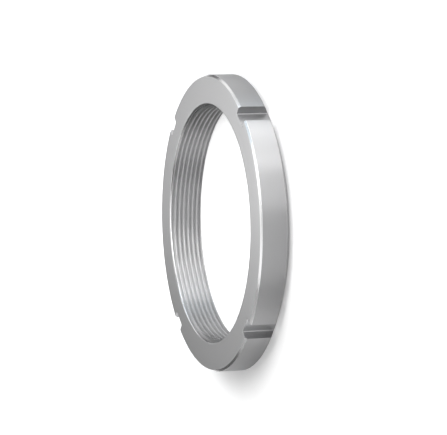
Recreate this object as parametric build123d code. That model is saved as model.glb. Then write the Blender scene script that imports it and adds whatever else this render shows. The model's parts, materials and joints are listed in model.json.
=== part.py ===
from build123d import *
import math
import os

# A round slotted lock nut: one steel ring, turned and threaded inside, with slots milled in its rim
# for a hook spanner or a lock washer's tab. It lies flat on its bearing face.
# The origin is the centre of that face, +Z runs up the bore's axis, and slots lie on the X and Y axes.
# The bore is drawn plain at the thread's crests, as is usual for a tapped hole with a fine thread.
# Lengths are in millimetres.

# The ring
ring_width = 17.5           # from the thread's roots out to the rim
thickness = 21.0
edge_break = 1.2            # 45 degree chamfer round the upper face
bearing_bevel_width = 7.5   # the bevel round the bearing face, measured along the face
bearing_bevel_angle = math.radians(30)  # between the bevel and the bearing face

# The bore, tapped with a fine metric thread
thread_major_diameter = 150.0
thread_pitch = 3.0
mouth_chamfer = 1.3         # 45 degree countersink at the upper face
bearing_mouth_chamfer = 0.3  # at the bearing face only the sharp edge is taken off

# The slots
slot_count = 4
slot_width = 12.0
slot_depth = 6.0
slot_corner_radius = 0.8    # left by the milling cutter's corners
cutter_run_out = 5.0        # how far the cutter passes beyond the rim and both faces

# The metric profile: a nut's thread is five eighths as deep as the sharp triangle that it is cut from
flank_angle = math.radians(60)
sharp_triangle_height = thread_pitch / 2 * math.tan(flank_angle)
thread_depth = 5 / 8 * sharp_triangle_height

# Sizes that follow from those above
root_radius = thread_major_diameter / 2
outer_radius = root_radius + ring_width
bearing_face_radius = outer_radius - bearing_bevel_width
bearing_bevel_depth = bearing_bevel_width * math.tan(bearing_bevel_angle)
crest_radius = root_radius - thread_depth
mouth_radius = crest_radius + mouth_chamfer
bearing_mouth_radius = crest_radius + bearing_mouth_chamfer
slot_floor_radius = outer_radius - slot_depth


def ring():
    """The turned ring; its section is drawn beside the axis and revolved."""
    with BuildPart() as turned:
        with BuildSketch(Plane.XZ):
            with BuildLine():
                Polyline(
                    (bearing_mouth_radius, 0),
                    (bearing_face_radius, 0),
                    (outer_radius, bearing_bevel_depth),
                    (outer_radius, thickness - edge_break),
                    (outer_radius - edge_break, thickness),
                    (mouth_radius, thickness),
                    (crest_radius, thickness - mouth_chamfer),
                    (crest_radius, bearing_mouth_chamfer),
                    close=True,
                )
            make_face()
        revolve(axis=Axis.Z)
    return turned.part


def slot_cutter():
    """One milling cut along +X, with rounded inner corners."""
    length = slot_depth + cutter_run_out
    with BuildPart() as cutter:
        with BuildSketch(Plane.XY.offset(-cutter_run_out)):
            with Locations((slot_floor_radius + length / 2, 0)):
                Rectangle(length, slot_width)
            inner_corners = vertices().sort_by(Axis.X)[:2]
            fillet(inner_corners, radius=slot_corner_radius)
        extrude(amount=thickness + 2 * cutter_run_out)
    return cutter.part


def lock_nut():
    """The ring, with its slots evenly spaced round the rim."""
    nut = ring()
    cutter = slot_cutter()
    for slot in range(slot_count):
        nut -= Rot(0, 0, slot * 360 / slot_count) * cutter
    return nut


nut = lock_nut()
nut.label = "lock_nut"
os.makedirs("parts", exist_ok=True)
export_step(nut, "parts/lock_nut.step")
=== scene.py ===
import json
import math

import bpy
from mathutils import Matrix, Vector


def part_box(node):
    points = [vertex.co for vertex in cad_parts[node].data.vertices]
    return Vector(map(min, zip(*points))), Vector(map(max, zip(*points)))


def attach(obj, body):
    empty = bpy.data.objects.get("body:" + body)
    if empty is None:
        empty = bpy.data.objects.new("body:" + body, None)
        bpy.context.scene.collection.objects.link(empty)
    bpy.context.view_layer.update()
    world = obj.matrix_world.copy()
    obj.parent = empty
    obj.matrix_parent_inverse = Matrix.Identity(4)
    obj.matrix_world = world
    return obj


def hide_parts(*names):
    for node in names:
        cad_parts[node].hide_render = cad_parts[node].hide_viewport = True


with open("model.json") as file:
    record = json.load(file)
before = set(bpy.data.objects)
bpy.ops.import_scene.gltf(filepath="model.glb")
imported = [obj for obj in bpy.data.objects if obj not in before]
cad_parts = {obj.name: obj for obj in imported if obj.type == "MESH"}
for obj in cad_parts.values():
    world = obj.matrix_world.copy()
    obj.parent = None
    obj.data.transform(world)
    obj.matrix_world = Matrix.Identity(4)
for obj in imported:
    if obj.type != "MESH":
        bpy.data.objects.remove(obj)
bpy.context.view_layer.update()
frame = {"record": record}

# The lock nut
# One ring of steel, turned all over and bored on a lathe, with a fine thread cut inside it.
# Four slots are milled through the rim, and every sharp edge is lightly broken with a file.
low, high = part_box("lock_nut")
thickness = high.z - low.z
thread_mount = next(mount for mount in frame["record"]["mounts"] if mount["name"] == "thread")
crest_radius = thread_mount["dims"]["r_mm"] / 1000

slot_half_width = 0.006
slot_depth = 0.006
slot_corner_radius = 0.0008
outer_radius = math.hypot(high.x, slot_half_width)   # the slots cut away the box's own extremes
slot_floor_radius = outer_radius - slot_depth

upper_chamfer = 0.0012                 # at 45 degrees, round the upper face
bearing_bevel_width = 0.0075
bearing_bevel_angle = math.radians(30)
bevel_slope = 1 / math.tan(bearing_bevel_angle)   # how far the bevel runs in for each metre that it drops
bearing_bevel_depth = bearing_bevel_width / bevel_slope
bearing_face_radius = outer_radius - bearing_bevel_width
mouth_chamfer = 0.0013                 # the countersink at the bore's upper mouth
bearing_mouth_chamfer = 0.0003         # at the bearing face only the sharp edge is taken off
mouth_radius = crest_radius + mouth_chamfer
filed_edge = 0.00006                   # the break along the slots' edges
turned_edge = 0.00004                  # from where two turned surfaces would meet to where the break starts
least_step = filed_edge / 4            # the shortest stretch of the outline
hair = filed_edge / 10                 # what lies closer than this is one place

# The metric profile: the groove is five eighths as deep as its sharp triangle
thread_pitch = 0.003
thread_start = math.radians(-26)       # where the groove's middle crosses the bearing face
flank_slope = math.tan(math.radians(60))
sharp_triangle_height = thread_pitch / 2 * flank_slope
thread_depth = 5 / 8 * sharp_triangle_height
root_radius = crest_radius + thread_depth
root_half_width = thread_pitch / 16

slots = 4
slot_pitch = 2 * math.pi / slots
corner_steps = 4
floor_steps = 8
rim_steps = 98
thread_rows_a_turn = 16
wall_end_share = 1.07                  # where the slot's wall ends and the rim starts, seen from the bore,
rim_start_share = 1.15                 # as shares of the turn to the slot's corner


def slot_outline(rim_radius, widening):
    """Half a slot seen from above, from the middle of its floor out to the rim, as (x, y) points."""
    half_width = slot_half_width + widening
    corner = slot_corner_radius + widening
    corner_x = slot_floor_radius + slot_corner_radius
    corner_y = slot_half_width - slot_corner_radius
    points = []
    for step in range(1, floor_steps // 2):
        points.append((slot_floor_radius - widening, corner_y * 2 * step / floor_steps))
    for step in range(corner_steps + 1):
        turn = math.pi - math.pi / 2 * step / corner_steps
        points.append((corner_x + corner * math.cos(turn), corner_y + corner * math.sin(turn)))
    wall_end = math.sqrt(rim_radius ** 2 - half_width ** 2) - filed_edge
    points.append((max(wall_end, corner_x + least_step), half_width))
    rim_turn = math.asin((half_width + filed_edge) / rim_radius)
    points.append((rim_radius * math.cos(rim_turn), rim_radius * math.sin(rim_turn)))
    return points


def outline(rim_radius, widening):
    """The whole nut seen from above, counterclockwise from the middle of the first slot."""
    half = slot_outline(rim_radius, widening)
    start = math.atan2(half[-1][1], half[-1][0])
    rim = []
    for step in range(1, rim_steps):
        turn = start + (slot_pitch - 2 * start) * step / rim_steps
        rim.append((rim_radius * math.cos(turn), rim_radius * math.sin(turn)))
    middle = (slot_floor_radius - widening, 0)
    after = [(x, -y) for x, y in reversed(half)]
    sector = [middle] + half + rim
    turned_after = Matrix.Rotation(slot_pitch, 2)
    sector += [tuple(turned_after @ Vector(point)) for point in after]
    points = []
    for slot in range(slots):
        turned = Matrix.Rotation(slot * slot_pitch, 2)
        points += [tuple(turned @ Vector(point)) for point in sector]
    return points


def column_turns():
    """The angle at which each point of the outline meets the bore, in order and clear of the slots."""
    half = [math.atan2(y, x) for x, y in slot_outline(outer_radius, 0)]
    corner_end = half[-3]
    half[-2] = corner_end * wall_end_share
    half[-1] = corner_end * rim_start_share
    rim = [half[-1] + (slot_pitch - 2 * half[-1]) * step / rim_steps for step in range(1, rim_steps)]
    sector = [0] + half + rim + [slot_pitch - turn for turn in reversed(half)]
    return [slot * slot_pitch + turn for slot in range(slots) for turn in sector]


def groove_radius(turn, height):
    """The thread's profile: a narrow flat root, two flanks at 60 degrees to each other, a wide crest."""
    pitches = height / thread_pitch - (turn - thread_start) / (2 * math.pi)
    from_groove = abs(pitches - round(pitches)) * thread_pitch
    flank = root_radius - max(from_groove - root_half_width, 0) * flank_slope
    return max(crest_radius, flank)


def cone_radius(height):
    """The countersink at the upper mouth, and the broken edge at the bearing face."""
    return max(mouth_radius - (thickness - height), crest_radius + bearing_mouth_chamfer - height)


def bore_radius(turn, height):
    return max(groove_radius(turn, height), cone_radius(height))


turns = column_turns()
columns = len(turns)
FACE, RIM, CHAMFER, SLOT, THREAD = range(5)
vertices = []
rows = []
row_finishes = []


def add_row(finish, points):
    """Adds a closed row of vertices, one for each column; the finish is that of the strip before it."""
    rows.append(list(range(len(vertices), len(vertices) + columns)))
    row_finishes.append(finish)
    vertices.extend(points)


def circle_row(radius, height, finish=FACE):
    add_row(finish, [(radius * math.cos(turn), radius * math.sin(turn), height) for turn in turns])


def mouth_row(height):
    radii = [bore_radius(turn, height) for turn in turns]
    add_row(FACE, [(r * math.cos(turn), r * math.sin(turn), height) for r, turn in zip(radii, turns)])


def outline_row(finish, rim_radius, height, widening=0.0):
    add_row(finish, [(x, y, height) for x, y in outline(rim_radius, widening)])


def bevel_row(rim_radius, above, widening=0.0):
    """A row on the bearing bevel; inside the slots it lies that far above the bevel."""
    points = []
    for x, y in outline(rim_radius, widening):
        radius = math.hypot(x, y)
        in_slot = radius < rim_radius - least_step
        height = (radius - bearing_face_radius) / bevel_slope
        points.append((x, y, height + above if in_slot else height))
    add_row(CHAMFER, points)


# From the upper mouth out over the upper face, down the rim and back in to the lower mouth;
# the slots run out in the bearing bevel, just short of the bearing face
land_shares = (0.1, 0.5, 0.93)
land_radii = [mouth_radius + (slot_floor_radius - mouth_radius) * share for share in land_shares]
past_slots = math.hypot(slot_floor_radius + slot_corner_radius, slot_half_width) + slot_corner_radius / 2
bearing_land_middle = (root_radius + bearing_face_radius) / 2
mouth_row(thickness)
for radius in land_radii:
    circle_row(radius, thickness)
outline_row(FACE, outer_radius - upper_chamfer - turned_edge, thickness, filed_edge)
outline_row(CHAMFER, outer_radius - upper_chamfer + filed_edge, thickness - filed_edge)
outline_row(CHAMFER, outer_radius - turned_edge, thickness - upper_chamfer + turned_edge)
outline_row(CHAMFER, outer_radius, thickness - upper_chamfer - turned_edge)
outline_row(RIM, outer_radius, bearing_bevel_depth + turned_edge)
outline_row(CHAMFER, outer_radius - turned_edge * bevel_slope, bearing_bevel_depth - turned_edge)
bevel_row(past_slots + filed_edge, filed_edge)
bevel_row(past_slots, 0, filed_edge)
circle_row(bearing_face_radius + filed_edge * bevel_slope, filed_edge, CHAMFER)
circle_row(bearing_face_radius - turned_edge, 0, CHAMFER)
circle_row(bearing_land_middle, 0)
mouth_row(0)

half_slot_columns = len(slot_outline(outer_radius, 0))
sector_columns = columns // slots
faces = []
finishes = []
for upper, lower, finish in zip(rows, rows[1:], row_finishes[1:]):
    for column in range(columns):
        after = (column + 1) % columns
        faces.append((upper[column], lower[column], lower[after], upper[after]))
        place = column % sector_columns
        in_slot = place < half_slot_columns or place >= sector_columns - half_slot_columns
        over_bevel = vertices[upper[column]][2] > bearing_bevel_depth / 2
        finishes.append(SLOT if in_slot and over_bevel and finish in (RIM, CHAMFER) else finish)

# The bore's wall climbs with the thread, so after one turn each row meets the row a pitch above it
first_turn = (turns[0] - thread_start) / (2 * math.pi)
lowest_pitch = -math.ceil(first_turn) - 1
spare_turns = 3
thread_rows = (math.ceil(thickness / thread_pitch) + spare_turns) * thread_rows_a_turn
upper_mouth, lower_mouth = rows[0], rows[-1]
threaded = {}                          # the wall's own vertices, by row and column


def thread_vertex(row, column):
    """The vertex of the bore's wall on that row, or of the mouth that the row has run out into."""
    pitches = (turns[column] - thread_start) / (2 * math.pi) + lowest_pitch + row / thread_rows_a_turn
    height = pitches * thread_pitch
    if height < hair:
        return lower_mouth[column]
    if height > thickness - hair:
        return upper_mouth[column]
    if (row, column) not in threaded:
        threaded[row, column] = len(vertices)
        radius = bore_radius(turns[column], height)
        vertices.append((radius * math.cos(turns[column]), radius * math.sin(turns[column]), height))
    return threaded[row, column]


for row in range(thread_rows):
    for column in range(columns):
        after = (column + 1) % columns
        climbed = thread_rows_a_turn if after == 0 else 0
        corners = [
            thread_vertex(row, column),
            thread_vertex(row + 1, column),
            thread_vertex(row + 1 + climbed, after),
            thread_vertex(row + climbed, after),
        ]
        corners = list(dict.fromkeys(corners))
        if len(corners) > 2:
            faces.append(corners)
            height = sum(vertices[corner][2] for corner in corners) / len(corners)
            on_cone = cone_radius(height) > groove_radius(turns[column], height)
            finishes.append(CHAMFER if on_cone else THREAD)

large_face_weight = 80                 # of 100, so that the broad faces stay flat beside their filed edges
nut_mesh = bpy.data.meshes.new("threaded_nut")
nut_mesh.from_pydata(vertices, [], faces)
nut_mesh.polygons.foreach_set("material_index", finishes)
nut_mesh.shade_smooth()
nut = bpy.data.objects.new("threaded_nut", nut_mesh)
bpy.context.scene.collection.objects.link(nut)
even_shading = nut.modifiers.new("even_shading", "WEIGHTED_NORMAL")
even_shading.weight = large_face_weight


class Socket:
    """A node's output, so that maths on a shader's values is written as plain expressions."""

    def __init__(self, tree, output):
        self.tree = tree
        self.output = output

    def maths(self, operation, first, second):
        return node(self.tree, "ShaderNodeMath", {"operation": operation}, [first, second])

    def __add__(self, other):
        return self.maths("ADD", self, other)

    def __radd__(self, other):
        return self.maths("ADD", other, self)

    def __sub__(self, other):
        return self.maths("SUBTRACT", self, other)

    def __rsub__(self, other):
        return self.maths("SUBTRACT", other, self)

    def __mul__(self, other):
        return self.maths("MULTIPLY", self, other)

    def __rmul__(self, other):
        return self.maths("MULTIPLY", other, self)


def node(tree, kind, settings, values, output=0):
    """Adds a node: its settings first, then a value or a link for each socket, by number or name."""
    made = tree.nodes.new(kind)
    for name, setting in settings.items():
        setattr(made, name, setting)
    pairs = values.items() if isinstance(values, dict) else enumerate(values)
    for socket, value in pairs:
        if isinstance(value, Socket):
            tree.links.new(value.output, made.inputs[socket])
        else:
            made.inputs[socket].default_value = value
    return Socket(tree, made.outputs[output]) if made.outputs else None


def new_material(name):
    material = bpy.data.materials.new(name)
    material.use_nodes = True
    material.node_tree.nodes.clear()
    return material, material.node_tree


def axis_distance(tree):
    """Sockets for the distance from the nut's axis and for the height."""
    place = node(tree, "ShaderNodeTexCoord", {}, {}, "Object")
    x, y, z = [node(tree, "ShaderNodeSeparateXYZ", {}, [place], axis) for axis in range(3)]
    return node(tree, "ShaderNodeMath", {"operation": "SQRT"}, [x * x + y * y]), z


mark_size = 0.0004                     # from one fine turning mark to the next
mark_depth = 0.0001
mark_strength = 0.03
mark_detail = 3.0
across_marks = 0.25                    # of a turn
blue_cast = 0.005


def steel_finish(name, shade, roughness, variation, spread):
    """Bare steel with fine turning marks that run round the axis and spread its highlights across them."""
    steel, tree = new_material(name)
    radius, z = axis_distance(tree)
    marks_place = node(tree, "ShaderNodeCombineXYZ", {}, [radius, z])
    marks = node(tree, "ShaderNodeTexNoise", {}, {
        "Vector": marks_place,
        "Scale": 1 / mark_size,
        "Detail": mark_detail,
    })
    bump = node(tree, "ShaderNodeBump", {}, {
        "Strength": mark_strength,
        "Distance": mark_depth,
        "Height": marks,
    })
    # Each finish's shade goes into the base colour, so it carries the painted shade and painted highlight
    # given to the finishes below
    shader = node(tree, "ShaderNodeBsdfPrincipled", {}, {
        "Base Color": (shade, shade, shade + blue_cast, 1),
        "Metallic": 1.0,
        "Roughness": roughness + (marks - 0.5) * variation,
        "Anisotropic": spread,
        "Anisotropic Rotation": across_marks,
        "Normal": bump,
    })
    node(tree, "ShaderNodeOutputMaterial", {}, [shader])
    nut_mesh.materials.append(steel)


# In the order of FACE, RIM, CHAMFER, SLOT and THREAD; the numbers are each finish's shade, its roughness,
# how much the roughness varies and how far a highlight is spread. The face's shade is the steel's own tone;
# the rim and the thread are set darker as painted shade, the slots darker partly as milled steel and partly
# as painted shade, and the chamfers and broken edges lighter as a painted highlight.
steel_finish("turned_face", 0.62, 0.3, 0.03, 0.0)
steel_finish("turned_rim", 0.53, 0.5, 0.05, 1.0)
steel_finish("turned_chamfer", 0.69, 0.2, 0.03, 0.0)
steel_finish("milled_slot", 0.42, 0.3, 0.03, 0.0)
steel_finish("cut_thread", 0.54, 0.38, 0.05, 0.9)

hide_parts("lock_nut")
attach(nut, "root")

# The floor
# A broad sheet of white card, which the nut's bearing face lies on.
floor_size = 12.0
floor_mesh = bpy.data.meshes.new("white_floor")
reach = floor_size / 2
floor_corners = [(-reach, -reach, 0), (reach, -reach, 0), (reach, reach, 0), (-reach, reach, 0)]
floor_mesh.from_pydata(floor_corners, [], [(0, 1, 2, 3)])
floor = bpy.data.objects.new("white_floor", floor_mesh)
floor.location.z = -hair
bpy.context.scene.collection.objects.link(floor)
card_colour = (0.88, 0.88, 0.88, 1)
card_glow = (1, 1, 1, 1)               # lifts the card to white where it is seen, and lights nothing
no_glow = (0, 0, 0, 1)
glow_at_rim = 0.22                     # where it is seen straight, which leaves the nut's shadow on it
glow_rise = 12.0                       # for each metre from the nut's rim, where the steel mirrors it too; it paints shade round the nut
FACTOR, FIRST_COLOUR, SECOND_COLOUR, MIXED_COLOUR = 0, 6, 7, 2   # a colour Mix node's sockets
card, tree = new_material("white_card")
straight, mirrored, refracted = [node(tree, "ShaderNodeLightPath", {}, {}, ray)
                                 for ray in ("Is Camera Ray", "Is Glossy Ray", "Is Transmission Ray")]
# The glow grows with the distance from the nut's rim, so the card is painted darker close round the nut and
# inside the bore, and the steel mirrors that painted shade as well
from_rim = node(tree, "ShaderNodeMath", {"operation": "ABSOLUTE"}, [axis_distance(tree)[0] - outer_radius])
lift = straight * glow_at_rim + (straight + mirrored + refracted) * (from_rim * glow_rise)
glow = node(tree, "ShaderNodeMix", {"data_type": "RGBA"}, {
    FACTOR: lift,
    FIRST_COLOUR: no_glow,
    SECOND_COLOUR: card_glow,
}, MIXED_COLOUR)
shader = node(tree, "ShaderNodeBsdfPrincipled", {}, {
    "Base Color": card_colour,
    "Roughness": 1.0,
    "Specular IOR Level": 0.0,
    "Emission Color": glow,
    "Emission Strength": 1.0,
})
node(tree, "ShaderNodeOutputMaterial", {}, [shader])
floor_mesh.materials.append(card)

# The light
# Soft boxes round the nut, most of the light coming from the picture's top.
middle = Vector((0, 0, thickness / 2))
picture_up_turn = math.radians(40.36)
upright = Vector((math.cos(picture_up_turn), math.sin(picture_up_turn), 0))
outward = Vector((0, 0, 1))
towards_viewer = upright.cross(outward)

world = bpy.data.worlds.new("studio")
bpy.context.scene.world = world
world.use_nodes = True
studio_strength = 0.13
background = world.node_tree.nodes["Background"].inputs
background["Color"].default_value = (1, 1, 1, 1)
background["Strength"].default_value = studio_strength


def soft_box(name, turn, elevation, distance, width, height, radiance):
    """A soft box that faces the nut.

    Its turn and elevation are in degrees, the turn from the viewer's side to the picture's top, and the
    elevation from the plane of the nut's faces to its axis. Its radiance is how bright the box looks,
    whatever its size.
    """
    light = bpy.data.lights.new(name, "AREA")
    light.shape = "RECTANGLE"
    light.size = width
    light.size_y = height
    light.energy = radiance * math.pi * width * height
    level = math.cos(math.radians(elevation))
    across = math.cos(math.radians(turn)) * towards_viewer + math.sin(math.radians(turn)) * upright
    direction = level * across + math.sin(math.radians(elevation)) * outward
    lamp = bpy.data.objects.new(name, light)
    lamp.location = middle + distance * direction
    lamp.rotation_mode = "QUATERNION"
    lamp.rotation_quaternion = direction.to_track_quat("Z", "Y")
    lamp.visible_camera = False
    bpy.context.scene.collection.objects.link(lamp)
    return lamp


soft_box("key", 60, 17, 1.2, 0.62, 0.72, 3.8)
soft_box("key_edge", 80, 17, 1.2, 0.3, 0.72, 4.4)
soft_box("key_upper", 37, 47, 1.2, 0.7, 0.45, 5.9)
soft_box("strip", 12, 72, 1.04, 1.55, 0.3, 1.45)
soft_box("low_side", 280, 25, 1.2, 0.62, 0.7, 0.7)
soft_box("front", 345, 28, 1.2, 0.9, 0.42, 1.4)

# The light at the picture's top is a little blue
pale_blue = (0.82, 0.92, 1.0)
for lamp in (
    soft_box("key_far", 98, 17, 1.2, 0.42, 0.72, 1.0),
    soft_box("side_upper", 105, 45, 1.2, 0.85, 0.42, 1.1),
):
    lamp.data.color = pale_blue

# Behind and above the nut are cards that only its steel mirrors, so that they cast no light or shadow
# on the floor
for lamp in (
    soft_box("overhead", 0, 90, 1.2, 0.6, 0.6, 0.7),
    soft_box("rear", 195, 48, 1.2, 0.9, 0.5, 0.8),
    soft_box("rear_face", 190, 34, 1.2, 0.9, 0.42, 0.5),
    soft_box("rear_top", 158, 34, 1.2, 1.28, 0.8, 0.36),
    soft_box("rear_top_low", 128, 27, 1.2, 0.7, 0.68, 0.8),
    soft_box("rear_low", 264, 40, 1.2, 0.85, 0.75, 0.42),
    soft_box("face_card", 167, 37, 0.45, 0.26, 0.2, 0.3),
):
    lamp.visible_diffuse = False

# The camera
# It looks down on the nut from a low angle, and is turned on its side, so that the nut stands upright
# in the picture.
camera_azimuth = math.radians(-44.8)
camera_elevation = math.radians(19.83)
camera_distance = 1.47
aim_above_middle = 0.00327
aim_right_of_middle = -0.0003
picture_width_pixels = 447
nut_radius_pixels = 148.2
farthest_seen = 50
level = math.cos(camera_elevation)
to_camera = Vector((
    level * math.cos(camera_azimuth),
    level * math.sin(camera_azimuth),
    math.sin(camera_elevation),
))
picture_up = (upright - upright.dot(to_camera) * to_camera).normalized()
picture_right = picture_up.cross(to_camera)
camera_data = bpy.data.cameras.new("camera")
camera = bpy.data.objects.new("camera", camera_data)
aim = middle + aim_above_middle * picture_up + aim_right_of_middle * picture_right
facing = Matrix((picture_right, picture_up, to_camera)).transposed().to_4x4()
camera.matrix_world = Matrix.Translation(aim + camera_distance * to_camera) @ facing
focal_pixels = nut_radius_pixels * camera_distance / outer_radius
camera_data.lens = camera_data.sensor_width * focal_pixels / picture_width_pixels
camera_data.clip_end = farthest_seen
bpy.context.scene.collection.objects.link(camera)
bpy.context.scene.camera = camera

bpy.context.scene.view_settings.view_transform = "Standard"
